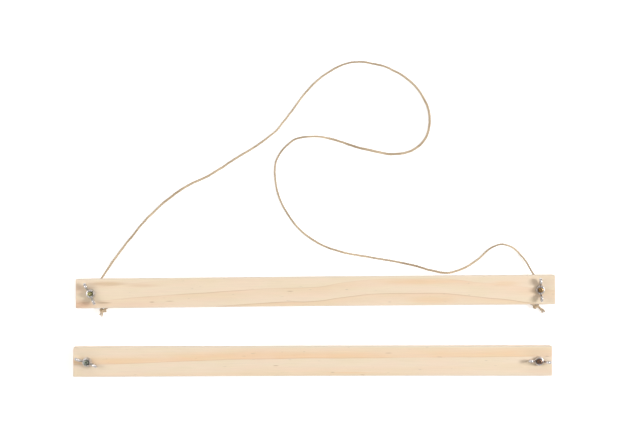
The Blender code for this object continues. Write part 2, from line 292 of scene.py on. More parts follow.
def fibre_shade(tree, colour, grain):
    """Light and dark fibres, and short dark flecks where the coarse noise is high."""
    dash = spread(tree, grain["dash"], 0.71, 0.78)
    fleck = times(tree, dash, spread(tree, grain["coarse"], 0.4, 0.58))
    shade = swayed(tree, 1.0, grain["fibre"], 0.11)
    shade = swayed(tree, shade, grain["fine"], 0.14)
    shade = scaled(tree, fleck, -0.28, shade)
    grey = add(tree, "CombineColor", {0: shade, 1: shade, 2: shade}).outputs[0]
    return blend(tree, 1.0, colour, grey, "MULTIPLY")


def end_grain(tree, colour, place, late):
    """Pores and rings on the sawn ends; returns the colour, how far a face is an end, and the pores."""
    end_on = maths(tree, "ABSOLUTE", split(tree, coordinates(tree, "Normal"))[0])
    end_on = spread(tree, end_on, 0.5, 0.85)
    pores = noise(tree, stretched(tree, place, (500, 4200, 4200)), detail=3, roughness=0.7)
    end_tone = scaled(tree, late, 0.55, times(tree, pores, 0.55))
    end_colour = blend(tree, end_tone, END_PALE, END_DARK)
    return blend(tree, end_on, colour, end_colour), end_on, times(tree, pores, end_on)


def pine(name, centre, angle, reach, line, spacing, side, seed, fade, shown, crisp,
         pale=PALE_WOOD, warm=WARM_WOOD, dies=None, patches=()):
    """Planed pine: growth rings that follow a line along the slat, fibre streaks, flecks and end grain."""
    material, tree = new_material(name)
    world = coordinates(tree)
    laid = {"Vector": world, "Location": centre, "Rotation": (0, 0, angle)}
    place = add(tree, "Mapping", laid, vector_type="TEXTURE").outputs[0]
    grain = grain_noises(tree, place, seed)
    ring = growth_rings(tree, place, grain, line, spacing, side)
    phase = maths(tree, "FRACT", ring)
    late = spread(tree, phase, *fade, 1.0, 0.0)
    chosen = maths(tree, "COMPARE", maths(tree, "FLOOR", ring), *shown)
    strength = scaled(tree, chosen, 0.75, 0.25)

    colour = wood_tone(tree, grain, late, strength, pale, warm)
    for patch in patches:
        colour = stained(tree, colour, place, grain["wavy"], *patch)
    colour = ring_edges(tree, colour, place, ring, phase, grain, strength, crisp, dies)
    # Painted shade: the long edges are greyed where the slat's sides fall into shadow
    colour = painted_arris_shade(tree, colour, place, reach)
    colour = fibre_shade(tree, colour, grain)
    colour, end_on, end_pores = end_grain(tree, colour, place, late)

    rough = scaled(tree, grain["fibre"], 0.18, 0.48)
    rough = scaled(tree, end_on, 0.2, rough)
    coarse = times(tree, grain["coarse"], 0.4)
    relief = scaled(tree, grain["fibre"], 0.6, coarse)
    relief = scaled(tree, grain["fine"], 0.35, relief)
    relief = scaled(tree, end_pores, 1.5, relief)
    bump = bumped(tree, relief, 0.25, 0.06)
    finish_shader(tree, {"Base Color": colour, "Roughness": rough, "Normal": bump, "Specular IOR Level": 0.3})
    return material


def zinc(name, colour, roughness, scale=1.0):
    """Bright zinc plating: soft mottling, fine scuffs and a slightly uneven skin."""
    material, tree = new_material(name)
    place = coordinates(tree)
    mottle = noise(tree, stretched(tree, place, (900 * scale,) * 3), detail=3, roughness=0.6)
    scuff = noise(tree, stretched(tree, place, (5200, 700, 2600)), detail=4, roughness=0.65)
    darker = (*(0.86 * c for c in colour[:3]), 1)
    tint = blend(tree, spread(tree, mottle, 0.3, 0.7), colour, darker)
    rough = scaled(tree, scuff, 0.22, roughness - 0.08)
    rough = scaled(tree, mottle, 0.1, rough)
    relief = scaled(tree, scuff, 0.4, mottle)
    bump = bumped(tree, relief, 0.2, 0.05)
    finish_shader(tree, {"Base Color": tint, "Metallic": 1.0, "Roughness": rough, "Normal": bump})
    return material


def twine(name, pale, dark):
    """Natural twine: fibres that run along each ply, mottled light and dark, and quite matt."""
    material, tree = new_material(name)
    yarn = add(tree, "Attribute", attribute_name="yarn").outputs["Vector"]
    world = coordinates(tree)
    fibre = noise(tree, stretched(tree, yarn, (2.2, 3.0, 3.0)), detail=5, roughness=0.7)
    patch = noise(tree, stretched(tree, world, (48, 48, 48)), detail=3, roughness=0.6)
    tone = scaled(tree, patch, 0.8, times(tree, fibre, 0.6))
    colour = blend(tree, spread(tree, tone, 0.45, 0.95), dark, pale)
    bump = bumped(tree, fibre, 0.6, 0.08)
    finish_shader(tree, {"Base Color": colour, "Roughness": 0.85, "Normal": bump,
                         "Specular IOR Level": 0.2, "Sheen Weight": 0.1, "Sheen Roughness": 0.5})
    return material


# ------ camera, floor and light

def add_object(name, data):
    thing = bpy.data.objects.new(name, data)
    bpy.context.scene.collection.objects.link(thing)
    return thing


CAMERA_HEIGHT = 1.8
CAMERA_CENTRE = (5.1 * MM, 95.38 * MM)
VIEW_WIDTH = 542.848 * MM      # the width of the view at the height of the clamps' fronts
FRONT_HEIGHT = 14.0 * MM
FLOOR_SIZE = 6.0
FLOOR_GAP = 0.05 * MM
FLOOR_GLOW = 0.45
LIGHT = 0.73
SKY_STRENGTH = 0.45


def set_camera():
    """Looks straight down on the hanger as it lies."""
    data = bpy.data.cameras.new("camera")
    data.sensor_width = 36.0
    data.lens = (CAMERA_HEIGHT - FRONT_HEIGHT) / VIEW_WIDTH * data.sensor_width
    camera = add_object("camera", data)
    camera.location = (*CAMERA_CENTRE, CAMERA_HEIGHT)
    bpy.context.scene.camera = camera


def set_floor():
    """A plain pale floor that glows a little, so that it stays white in the soft shadows."""
    bm = bmesh.new()
    bmesh.ops.create_grid(bm, x_segments=1, y_segments=1, size=FLOOR_SIZE)
    mesh = bpy.data.meshes.new("floor")
    bm.to_mesh(mesh)
    bm.free()
    floor = add_object("floor", mesh)
    floor.location.z = -FLOOR_GAP
    material, tree = new_material("floor")
    finish_shader(tree, {"Base Color": (0.8, 0.8, 0.8, 1), "Roughness": 0.8, "Specular IOR Level": 0.1,
                         "Emission Color": (1, 1, 1, 1), "Emission Strength": FLOOR_GLOW})
    mesh.materials.append(material)


def area_light(name, place, target, size, power, colour=(1, 1, 1)):
    """A softbox at a place, turned to a target; its power is in watts before the common factor."""
    data = bpy.data.lights.new(name, "AREA")
    data.shape = "RECTANGLE"
    data.size, data.size_y = size
    data.energy = LIGHT * power
    data.color = colour
    light = add_object(name, data)
    light.location = place
    light.rotation_euler = (Vector(target) - Vector(place)).to_track_quat("-Z", "Y").to_euler()


def set_light():
    """A key softbox on the right, three weaker ones, and a sky that is darker low down and overhead."""
    area_light("softbox_right", (0.95, 0.12, 1.25), (0.16, 0.0, 0), (0.28, 0.5), 18.5, (0.985, 1.0, 1.03))
    area_light("softbox_left", (-0.62, 0.1, 0.8), (-0.16, 0.0, 0), (0.34, 0.6), 4.2)
    area_light("softbox_top", (0.0, 1.05, 1.0), (0, 0.06, 0), (1.6, 0.5), 4.3)
    area_light("softbox_foot", (0.0, -0.95, 1.0), (0, 0.06, 0), (1.6, 0.5), 4.8)
    world = bpy.data.worlds.new("world")
    world.use_nodes = True
    tree = world.node_tree
    way = coordinates(tree, "Generated")
    height = split(tree, way)[2]
    sky = blend(tree, spread(tree, height, 0.1, 0.45), (0.07, 0.06, 0.05, 1), (0.84, 0.8, 0.755, 1))
    sky = blend(tree, spread(tree, height, 0.75, 0.97), sky, (0.07, 0.05, 0.035, 1))
    tree.links.new(sky, tree.nodes["Background"].inputs[0])
    tree.nodes["Background"].inputs[1].default_value = SKY_STRENGTH
    scene = bpy.context.scene
    scene.world = world
    scene.view_settings.view_transform = "Standard"


# ------ meshes

def wander(rng, places, step, size):
    """A smooth random value at each place, with a new level at every step."""
    steps = np.arange(places.min() - 2 * step, places.max() + 3 * step, step)
    levels = rng.uniform(-size, size, len(steps))
    k = np.clip(((places - steps[0]) / step).astype(int), 0, len(steps) - 2)
    part = (places - steps[k]) / step
    ease = part * part * (3 - 2 * part)
    return levels[k] * (1 - ease) + levels[k + 1] * ease


def grid_faces(rows, columns, first=0):
    """Quads between rows of vertices that lie one after another, each row closed on itself."""
    faces = []
    for i in range(rows - 1):
        for j in range(columns):
            k = (j + 1) % columns
            a, b = first + i * columns, first + (i + 1) * columns
            faces.append((a + j, a + k, b + k, b + j))
    return faces


def cap_faces(rows, columns, first=0):
    """The two faces that close the first and the last of the rows."""
    last = first + (rows - 1) * columns
    return [tuple(range(first, first + columns)), tuple(range(last, last + columns))]


def mesh_from(name, verts, faces, scale=1.0):
    """A mesh of these vertices and faces, with all normals outward."""
    mesh = bpy.data.meshes.new(name)
    mesh.from_pydata([tuple(v) for v in np.asarray(verts) * scale], [], faces)
    bm = bmesh.new()
    bm.from_mesh(mesh)
    bmesh.ops.recalc_face_normals(bm, faces=bm.faces)
    bm.to_mesh(mesh)
    bm.free()
    return mesh


def skinned(name, rows, ring=False):
    """A closed mesh through rows of points: capped at both ends, or with its last row joined to its first."""
    rows = np.asarray(rows, float)
    count = rows.shape[1]
    faces = grid_faces(len(rows), count)
    if ring:
        last = (len(rows) - 1) * count
        faces += [(last + j, last + (j + 1) % count, (j + 1) % count, j) for j in range(count)]
    else:
        faces += cap_faces(len(rows), count)
    return mesh_from(name, rows.reshape(-1, 3), faces)


def smoothed(mesh, degrees=35):
    """Smooth shading, with edges sharper than this angle kept crisp."""
    mesh.shade_smooth()
    mesh.set_sharp_from_angle(angle=math.radians(degrees))
    return mesh


def worked(name, mesh, steps, cutters=()):
    """The mesh after a list of modifiers, and after the cutters are taken out of it."""
    body = add_object(name, mesh)
    helpers = [add_object(f"{name}_cutter", cutter) for cutter in cutters]
    for kind, settings in steps:
        step = body.modifiers.new(kind.lower(), kind)
        for key, value in settings.items():
            setattr(step, key, value)
    for helper in helpers:
        step = body.modifiers.new("cut", "BOOLEAN")
        step.operation = "DIFFERENCE"
        step.object = helper
    result = bpy.data.meshes.new_from_object(body.evaluated_get(bpy.context.evaluated_depsgraph_get()))
    for thing in (body, *helpers):
        bpy.data.objects.remove(thing)
    result.name = name
    result.materials.clear()
    return result


def circle(count):
    """Even steps of angle round a circle."""
    return np.arange(count) * math.tau / count


def round_row(radius, height, segments):
    """Points round a circle; the radius may be one for each point."""
    angles = circle(segments)
    return np.stack([radius * np.cos(angles), radius * np.sin(angles), np.full(segments, height)], 1)


def turned(name, profile, segments, ring=False):
    """Turns a profile of (radius, height) points about Z; where ring is set, the profile closes on itself."""
    return skinned(name, [round_row(radius, height, segments) for radius, height in profile], ring)


def show(name, mesh, body, material, replaced):
    """Adds a piece that rides on a body and stands for CAD nodes."""
    thing = add_object(name, mesh)
    thing.data.materials.clear()
    thing.data.materials.append(material)
    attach(thing, body)
    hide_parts(*replaced)
    return thing


# ------ slats

HOLE_RADIUS = 2.4
HOLE_RIM = 0.18
HOLE_SEGMENTS = 48
SINK_RADIUS = 4.6
SINK_DEPTH = 2.32
EDGE_RADIUS = 0.42
LARGEST_EDGE_RADIUS = 1.2
END_EASE = 0.4
NICKS_PER_EDGE = 5
LONG_WAVE, SHORT_WAVE, FACE_WAVE = (17, 0.12), (4, 0.05), (60, 0.05)
END_ROWS = [0.0, 0.08, 0.2, 0.36, 0.6, 0.9, 1.3, 1.8, 2.5, 3.4]
FIRST_ROW, ROW_STEP = 5.0, 2.2
CROOKS = {"upper_front_slat": 0.35, "lower_front_slat": 0.5}

# Radii of a slat's corners, seen from the front: the left end's upper and lower one, then the right end's
EASED_CORNERS = ((0.7, 0.8), (0.8, 0.7))
WORN_CORNERS = ((2.2, 0.6), (0.6, 0.5))

# The drawn grain line of each look, as (along, across) places from the slat's middle
UPPER_LINE = [
    (-203, -21), (-182, -19), (-145, -15.8), (-109, -13.3), (-72, -11.0), (-28, -8.9), (0, -8.4), (23, -5.2),
    (55, -2.4), (85, -2.1), (110, -2.5), (140, -5.7), (161, -7.6), (180, -10.3), (203, -13),
]
LOWER_LINE = [
    (-203, -2.3), (-149, -1.4), (-100, 0.8), (-78, 1.5), (2, 2.2), (74, 2.9), (178, 3.9), (203, 4.2),
]
BACK_LINE = [(-203, -6), (-60, -1), (90, 3), (203, 1)]

# Late wood in each ring, the rings that show most, the strength of ring edges and the edge that dies away
ARCHES = dict(fade=(0.0, 0.85), shown=(19.5, 0.6), crisp=0.7, dies=(19.0, -60 * MM, 40 * MM))
BAND = dict(fade=(0.22, 0.72), shown=(20.0, 0.5), crisp=0.35)
EVEN = dict(fade=(0.0, 0.8), shown=(20.0, 2.5), crisp=0.5)
SLAT_LOOKS = {
    "upper_front_slat": dict(line=UPPER_LINE, spacing=12.5, side=-1, seed=3.1, **ARCHES,
                             pale=(0.8, 0.665, 0.5, 1), warm=(0.79, 0.6, 0.42, 1)),
    "lower_front_slat": dict(line=LOWER_LINE, spacing=14.0, side=1, seed=8.6, **BAND,
                             pale=(0.8, 0.665, 0.505, 1), warm=(0.81, 0.575, 0.36, 1)),
    "upper_back_slat": dict(line=BACK_LINE, spacing=7.0, side=1, seed=5.4, **EVEN),
    "lower_back_slat": dict(line=BACK_LINE, spacing=9.0, side=-1, seed=1.7, **EVEN),
}

# Stains on the front faces: place, half sizes, strength and colour
BROWN, ORANGE, DARK = (0.64, 0.45, 0.27, 1), (0.79, 0.54, 0.31, 1), (0.45, 0.28, 0.15, 1)
RED_BROWN, SOFT_RED, PINK = (0.62, 0.37, 0.24, 1), (0.66, 0.43, 0.29, 1), (0.78, 0.55, 0.41, 1)
STAINS = {
    "upper_front_slat": [
        ((-200, -10), (14, 7), 0.55, RED_BROWN), ((-201, 4), (8, 6), 0.4, SOFT_RED),
        ((-177, 8.3), (20, 2.4), 0.65, BROWN), ((-146, 6.4), (18, 1.8), 0.35, BROWN),
        ((-150, -9.5), (40, 3.2), 0.35, PINK), ((99, -7.8), (26, 4.6), 0.45, ORANGE),
        ((89, 7.6), (40, 2.6), 0.45, ORANGE), ((162, 5.4), (18, 3.0), 0.4, ORANGE),
        ((-179, -7.9), (7, 0.8), 0.55, DARK), ((-138.6, -7.6), (3.2, 0.6), 0.8, DARK),
        ((-123.5, -7.0), (4.5, 0.5), 0.5, DARK), ((-21.5, 0.5), (3.2, 0.5), 0.5, DARK),
    ],
    "lower_front_slat": [
        ((32, -9.6), (34, 1.1), 0.55, ORANGE), ((-150, 1.5), (40, 2.0), 0.3, ORANGE),
        ((-31.4, -3.5), (3.2, 0.5), 0.6, DARK), ((64.5, 7.0), (4, 0.5), 0.5, DARK),
        ((42.5, -11.4), (3.2, 0.5), 0.6, DARK),
    ],
}


def slat_section(radius, low_y, high_y, low_z, high_z):
    """Points round a slat's section with rounded corners; each face has some points of its own."""
    middle = np.array([(low_y + high_y) / 2, (low_z + high_z) / 2])
    corners = [(high_y, high_z), (low_y, high_z), (low_y, low_z), (high_y, low_z)]
    centres = [corner - np.copysign(r, corner - middle) for corner, r in zip(corners, radius)]
    points = []
    for index, face_points in enumerate((7, 3, 7, 3)):
        following = (index + 1) % 4
        for angle in np.radians(90 * index + np.array([0, 30, 60, 90])):
            way = np.array([math.cos(angle), math.sin(angle)])
            points.append(centres[index] + radius[index] * way)
        start = points[-1]
        stop = centres[following] + radius[following] * way
        for k in range(1, face_points + 1):
            points.append(start + (stop - start) * k / (face_points + 1))
    return points


def rounding(radius, gone):
    """How far a rounded corner has drawn back at a distance gone from the end."""
    return radius - math.sqrt(max(0.0, radius**2 - (radius - min(gone, radius)) ** 2))


def edge_radii(rng, x):
    """The radius of each long edge along the slat, with small nicks."""
    radii = [EDGE_RADIUS + wander(rng, x, *LONG_WAVE) + wander(rng, x, *SHORT_WAVE) for _ in range(4)]
    for radius in radii:
        for _ in range(NICKS_PER_EDGE):
            spot, wide, deep = rng.uniform(-200, 200), rng.uniform(0.8, 3.0), rng.uniform(0.05, 0.35)
            radius += deep * np.exp(-((x - spot) / wide) ** 2)
    return np.minimum(radii, LARGEST_EDGE_RADIUS)


def hole_cutters(clamp, height, countersunk):
    """The bolt holes as solids: broken edges in front, and a countersink behind where the head sits."""
    profile = [(HOLE_RADIUS, -1), (HOLE_RADIUS, height - HOLE_RIM), (HOLE_RADIUS + HOLE_RIM + 1, height + 1)]
    if countersunk:
        profile = [(SINK_RADIUS + 1, -1), (SINK_RADIUS, 0), (HOLE_RADIUS, SINK_DEPTH)] + profile[1:]
    cutters = []
    for side in SIDES:
        cutter = turned("hole", profile, HOLE_SEGMENTS)
        cutter.transform(Matrix.Translation((BOLT_XS[clamp, side], 0, 0)))
        cutters.append(cutter)
    return cutters


def slat_mesh(name, seed, clamp, corner_radii, crook, countersunk):
    """A planed slat in millimetres: eased edges with small nicks, eased ends and drilled bolt holes."""
    rng = np.random.default_rng(seed)
    half, width, height = SLAT_LENGTH / MM / 2, SLAT_WIDTHS[clamp] / MM, SLAT_THICKNESS / MM
    rest = np.arange(FIRST_ROW, 2 * half - FIRST_ROW + 0.1, ROW_STEP)
    x = np.unique(np.concatenate([np.array([*END_ROWS, *rest]) - half, half - np.array(END_ROWS)]))
    radii = edge_radii(rng, x)
    lift = [wander(rng, x, *FACE_WAVE) for _ in range(4)]
    rows = []
    for i, place in enumerate(x):
        gone = min(half - place, half + place)
        flat = rounding(END_EASE, gone)
        high_trim, low_trim = (rounding(corner, gone) for corner in corner_radii[1 if place > 0 else 0])
        bow = crook * (1 - (place / half) ** 2)
        high_y = width / 2 - high_trim + lift[0][i] + bow
        low_y = -width / 2 + low_trim + lift[1][i] + bow
        low_z = flat + max(0.0, lift[2][i]) * 0.4
        high_z = height - flat + min(0.0, lift[3][i]) * 0.6
        section = slat_section(radii[:, i], low_y, high_y, low_z, high_z)
        rows.append([(place, y, z) for y, z in section])
    return smoothed(worked(name, skinned(name, rows), [], hole_cutters(clamp, height, countersunk)))


def clamp_place(clamp):
    """Where a clamp's slats lie: the turn and shift from a slat's own millimetres to the frame."""
    low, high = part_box(f"{clamp}_back_slat")
    centre = (low + high) / 2
    centre.z = 0
    return Matrix.Translation(centre) @ Matrix.Rotation(LAY_ANGLES[clamp], 4, "Z")


def add_slats():
    for name, look in SLAT_LOOKS.items():
        clamp, layer = name.split("_")[:2]
        low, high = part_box(name)
        place = clamp_place(clamp)
        place.translation.z = low.z
        corners = WORN_CORNERS if name == "lower_front_slat" else EASED_CORNERS
        crook = CROOKS.get(name, 0.0)
        mesh = slat_mesh(name, int(look["seed"] * 10), clamp, corners, crook, layer == "back")
        mesh.transform(place @ Matrix.Scale(MM, 4))
        line = [(along * MM, across * MM) for along, across in look["line"]]
        look = {**look, "line": line, "spacing": look["spacing"] * MM}
        top = (*place.translation.xy, high.z)
        material = pine(f"{name}_pine", top, LAY_ANGLES[clamp], SLAT_WIDTHS[clamp] / 2,
                        patches=STAINS.get(name, ()), **look)
        show(f"{name}_wood", mesh, f"{clamp}_{layer}", material, [name])


# ------ screws, washers and wing nuts

THREAD_PITCH = 0.7
THREAD_RADIUS = 2.0
THREAD_DEPTH = 0.36
THREAD_RUN_IN = 1.2
ROWS_PER_TURN = 10
SCREW_SEGMENTS = 40
SCREW_LOW, SCREW_HIGH = 0.2, 25.2
HEAD_CONE = 1.95
TIP_CHAMFER = 0.5
RECESS_DEPTH = 1.8
BORE_RADIUS = 2.06
ROUND_SEGMENTS = 64
WASHER_DISH = 0.03
WASHER_PROFILE = [
    (2.25, 0.03), (2.31, 0), (3.84, 0), (3.94, 0.04), (4.0, 0.13), (4.0, 0.38), (3.97, 0.46), (3.87, 0.5),
    (2.4, 0.5), (2.29, 0.47), (2.25, 0.4),
]
HUB_TOP = 4.62
HUB_PROFILE = [
    (0.01, 0.0), (3.6, 0.0), (3.82, 0.15), (3.84, 0.6), (3.72, 2.0), (3.44, 4.3), (3.2, HUB_TOP),
    (0.01, HUB_TOP),
]
WING_HALF = 1.05
WING_STEPS = [(0.55, 1.25), (0.98, 0.8), (1.0, 0.5), (0.8, 0.12), (0.35, 0.0)]
WING_ARC_POINTS = 20
BORE_MOUTH = 0.2

# Shades of the yellow plating, and the turns of the screws and washers in degrees
SCREW_TINTS = {
    ("upper", "left"): (0.42, 0.39, 0.19, 1),
    ("upper", "right"): (0.64, 0.41, 0.19, 1),
    ("lower", "left"): (0.4, 0.44, 0.37, 1),
    ("lower", "right"): (0.4, 0.25, 0.18, 1),
}
CLAMP_TURNS = {"upper": 11.0, "lower": 64.0}
SIDE_TURN = 37.0


def screw_profile():
    """The screw's (radius, height) rows from head to tip, and the numbers of the threaded ones."""
    low, high = SCREW_LOW, SCREW_HIGH
    neck = low + 0.25 + HEAD_CONE
    head = [(0.01, low), (3.4, low), (3.62, low + 0.03), (3.78, low + 0.1), (3.85, low + 0.2),
            (3.8, low + 0.3), (2.2, neck - 0.25), (1.95, neck), (1.86, neck + 0.25)]
    heights = np.arange(neck + 0.5, high - 0.02, THREAD_PITCH / ROWS_PER_TURN)
    tip = [(1.4, high - 0.03), (1.3, high), (0.9, high - 0.02), (0.01, high - 0.03)]
    threaded = range(len(head), len(head) + len(heights))
    return head + [(THREAD_RADIUS, height) for height in heights] + tip, threaded


def threaded_radius(height, first):
    """The radius round one threaded row: it runs in from the neck and is chamfered at the tip."""
    angles = circle(SCREW_SEGMENTS)
    phase = (height / THREAD_PITCH - angles / math.tau) % 1.0
    groove = np.clip(np.abs(phase - 0.5) * 2.5 - 0.25, 0, 1)
    run_in = min(1.0, (height - first) / THREAD_RUN_IN)
    taper = max(0.0, 1 - (SCREW_HIGH - height) / TIP_CHAMFER)
    return np.minimum(THREAD_RADIUS - THREAD_DEPTH * (1 - groove) * run_in, THREAD_RADIUS - taper * 0.55)


def recess_arm(turn):
    """One arm of the cross recess: a bar that narrows as it goes up into the head."""
    corners = []
    for height, x, y in ((-0.4, 2.35, 0.55), (SCREW_LOW + RECESS_DEPTH, 0.9, 0.33)):
        corners.append([(-x, -y, height), (x, -y, height), (x, y, height), (-x, y, height)])
    arm = skinned("recess_arm", corners)
    arm.transform(Matrix.Rotation(turn, 4, "Z"))
    return arm


def screw_mesh():
    """A countersunk M4 screw in millimetres, head down, with a rolled thread and a cross recess."""
    profile, threaded = screw_profile()
    first = profile[threaded[0]][1]
    rows = []
    for index, (radius, height) in enumerate(profile):
        radii = threaded_radius(height, first) if index in threaded else radius
        rows.append(round_row(radii, height, SCREW_SEGMENTS))
    blank = skinned("screw", rows)
    return smoothed(worked("screw", blank, [], [recess_arm(0.0), recess_arm(math.pi / 2)]), 40)


def washer_mesh(seed):
    """A stamped washer in millimetres: rolled over on one edge, with a slight dish."""
    rng = np.random.default_rng(seed)
    mesh = turned("washer", WASHER_PROFILE, ROUND_SEGMENTS, ring=True)
    tilt = rng.uniform(-WASHER_DISH, WASHER_DISH, 2)
    for v in mesh.vertices:
        around = math.atan2(v.co.y, v.co.x)
        v.co.z += max(-0.02, tilt[0] * math.cos(2 * around) + tilt[1] * math.sin(3 * around)) * 0.4
        v.co.x *= 1 + tilt[0] * 0.15
    return smoothed(mesh, 30)


def wing_outline(shrink, count):
    """A wing seen from its flat side: a hull round a small root circle and a larger lobe circle."""
    root, lobe = np.array([4.6, 2.3]), np.array([7.25, 7.45])
    root_radius, lobe_radius = 1.75 - shrink, 2.95 - shrink
    along = lobe - root
    heading = math.atan2(along[1], along[0])
    swing = math.acos((root_radius - lobe_radius) / norm(along))
    arcs = (
        (lobe, lobe_radius, heading - swing, heading + swing),
        (root, root_radius, heading + swing, heading + math.tau - swing),
    )
    outline = []
    for centre, radius, first, last in arcs:
        for k in range(count):
            angle = first + (last - first) * k / (count - 1)
            outline.append(centre + radius * np.array([math.cos(angle), math.sin(angle)]))
    return outline


def wing_mesh(side):
    """One ear: thicker towards its tip, with a face that steps down from a raised rim."""
    layers = [(-depth, shrink) for depth, shrink in WING_STEPS]
    layers += [(depth, shrink) for depth, shrink in reversed(WING_STEPS)]
    rows = []
    for depth, shrink in layers:
        outline = wing_outline(shrink, WING_ARC_POINTS)
        thick = depth * WING_HALF
        rows.append([(side * out, thick * (0.68 + 0.055 * min(8.0, out)), up) for out, up in outline])
    return skinned("wing", rows)


def wing_nut_mesh():
    """A cast wing nut in millimetres: a coned hub, two ears with raised rims, fillets and a clean bore."""
    bm = bmesh.new()
    for part in (turned("hub", HUB_PROFILE, ROUND_SEGMENTS), wing_mesh(-1), wing_mesh(1)):
        bm.from_mesh(part)
    joined = bpy.data.meshes.new("nut_blank")
    bm.to_mesh(joined)
    bm.free()
    steps = [("REMESH", dict(mode="VOXEL", voxel_size=0.17)), ("SMOOTH", dict(factor=0.5, iterations=5))]
    solid = worked("nut_solid", joined, steps)
    wide = BORE_RADIUS + BORE_MOUTH
    bore = [(wide + 1, -1), (wide, 0.0), (BORE_RADIUS, BORE_MOUTH), (BORE_RADIUS, HUB_TOP - BORE_MOUTH),
            (wide, HUB_TOP), (wide + 1, HUB_TOP + 1)]
    return smoothed(worked("wing_nut", solid, [], [turned("bore", bore, ROUND_SEGMENTS)]), 40)


def hardware_piece(clamp, side, kind, body, mesh, turn, material):
    """Shows one piece of a bolt's hardware where its CAD node stands, turned about the bolt."""
    node = f"{clamp}_{side}_{kind}"
    bolt = clamp_place(clamp) @ Matrix.Translation((BOLT_XS[clamp, side] * MM, 0, 0))
    bottom = 0 if kind == "screw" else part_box(node)[0].z
    place = Matrix.Translation((*bolt.translation.xy, bottom))
    mesh.transform(place @ Matrix.Rotation(turn, 4, "Z") @ Matrix.Scale(MM, 4))
    show(f"{node}_metal", mesh, body, material, [node])


def add_hardware():
    screw, nut = screw_mesh(), wing_nut_mesh()
    washer_zinc = zinc("washer_zinc", (0.62, 0.62, 0.63, 1), 0.24, 0.7)
    nut_zinc = zinc("wing_nut_zinc", (0.72, 0.69, 0.68, 1), 0.2)
    for clamp in LAY_ANGLES:
        for index, side in enumerate(SIDES):
            turn = math.radians(SIDE_TURN * index + CLAMP_TURNS[clamp])
            tint = zinc(f"{clamp}_{side}_screw_zinc", SCREW_TINTS[clamp, side], 0.16)
            hardware_piece(clamp, side, "screw", f"{clamp}_back", screw.copy(), turn, tint)
            washer = washer_mesh(index + 5)
            hardware_piece(clamp, side, "washer", f"{clamp}_front", washer, turn, washer_zinc)
            turn = math.radians(WING_ANGLES[clamp, side])
            body = f"{clamp}_{side}_nut"
            hardware_piece(clamp, side, "wing_nut", body, nut.copy(), turn, nut_zinc)


# ------ cord

PLIES = 3
PLY_RADIUS = 0.45
PLY_REACH = 0.5
PLY_COLUMNS = 9
LAY_LENGTH = 6.2
FIBRE_LAY = 2.6
YARN_STRETCH = 0.35
TWINE_STEP = 0.34
FRAY_LENGTH = 6.0
TIP_FIBRES = 60
PINCHED_SHARE = 0.65
LOWEST_FIBRE = 0.03
LONG_KINK, SHORT_KINK, RISE = (9, 0.2), (3.1, 0.08), (21, 0.25)
KINK_FADE = 12
LAY_SEED, FREE_SEED, END_SEEDS = 12, 3, {"left": 31, "right": 47}

# Thickness of the twine, as (place along it, share of its usual thickness)
CORD_GIRTHS = [
    (0, 0.98), (12, 1.08), (50, 0.96), (100, 1.12), (150, 1.02), (210, 0.9), (300, 0.9), (330, 0.99),
    (380, 1.12), (450, 1.18), (510, 0.88), (570, 0.84), (620, 0.95), (680, 0.88), (740, 1.02), (785, 0.82),
    (830, 0.92),
]
END_GIRTHS = [(0, 0.95), (28, 0.92), (42, 1.1), (80, 1.15)]

# An overhand knot: its loose form has this reach, and its turns are pulled until they nearly touch
KNOT_REACH = 9.5
KNOT_POINTS = 76
KNOT_PULLS = 2600
TURN_GAP = 1.42
KNOT_LEAD = 2
HITCH_POINTS = 40
END_STEPS = 12
ROUTE_STEPS = 16
ROUTE_SPACING = 0.5


def unit(v):
    return v / norm(v, axis=-1, keepdims=True)


def smooth_curve(points, steps):
    """A centripetal Catmull-Rom curve through the points, with that many steps to each stretch."""
    points = [np.asarray(p, float) for p in points]
    ends = [2 * points[0] - points[1], *points, 2 * points[-1] - points[-2]]
    curve = []
    for a, b, c, d in zip(ends, ends[1:], ends[2:], ends[3:]):
        t1 = norm(b - a) ** 0.5
        t2 = t1 + norm(c - b) ** 0.5
        t3 = t2 + norm(d - c) ** 0.5
        for k in range(steps):
            t = t1 + (t2 - t1) * k / steps
            ab = a + (b - a) * t / t1
            bc = b + (c - b) * (t - t1) / (t2 - t1)
            cd = c + (d - c) * (t - t2) / (t3 - t2)
            ac = ab + (bc - ab) * t / t2
            bd = bc + (cd - bc) * (t - t1) / (t3 - t1)
            curve.append(ac + (bd - ac) * (t - t1) / (t2 - t1))
    return np.array([*curve, points[-1]])


def evenly(points, step):
    """The same line with points at even steps along it."""
    runs = np.concatenate([[0], np.cumsum(norm(np.diff(points, axis=0), axis=1))])
    places = np.linspace(0, runs[-1], max(2, int(round(runs[-1] / step)) + 1))
    return np.stack([np.interp(places, runs, points[:, k]) for k in range(3)], 1)


def length_of(points):
    return float(norm(np.diff(points, axis=0), axis=1).sum())


def loose_overhand():
    """An open overhand knot along X: a knotted curve between two straight arms."""
    t = np.linspace(-2.15, 2.15, 200)
    line = np.stack([0.375 * (t**5 - 10 * t), 1.5 * (t**3 - 3 * t), 1.5 * (t**4 - 4 * t**2) + 2.0], 1)
    line = np.concatenate([[(-KNOT_REACH, 0, 0)], line, [(KNOT_REACH, 0, 0)]])
    return evenly(line, length_of(line) / (KNOT_POINTS - 1))


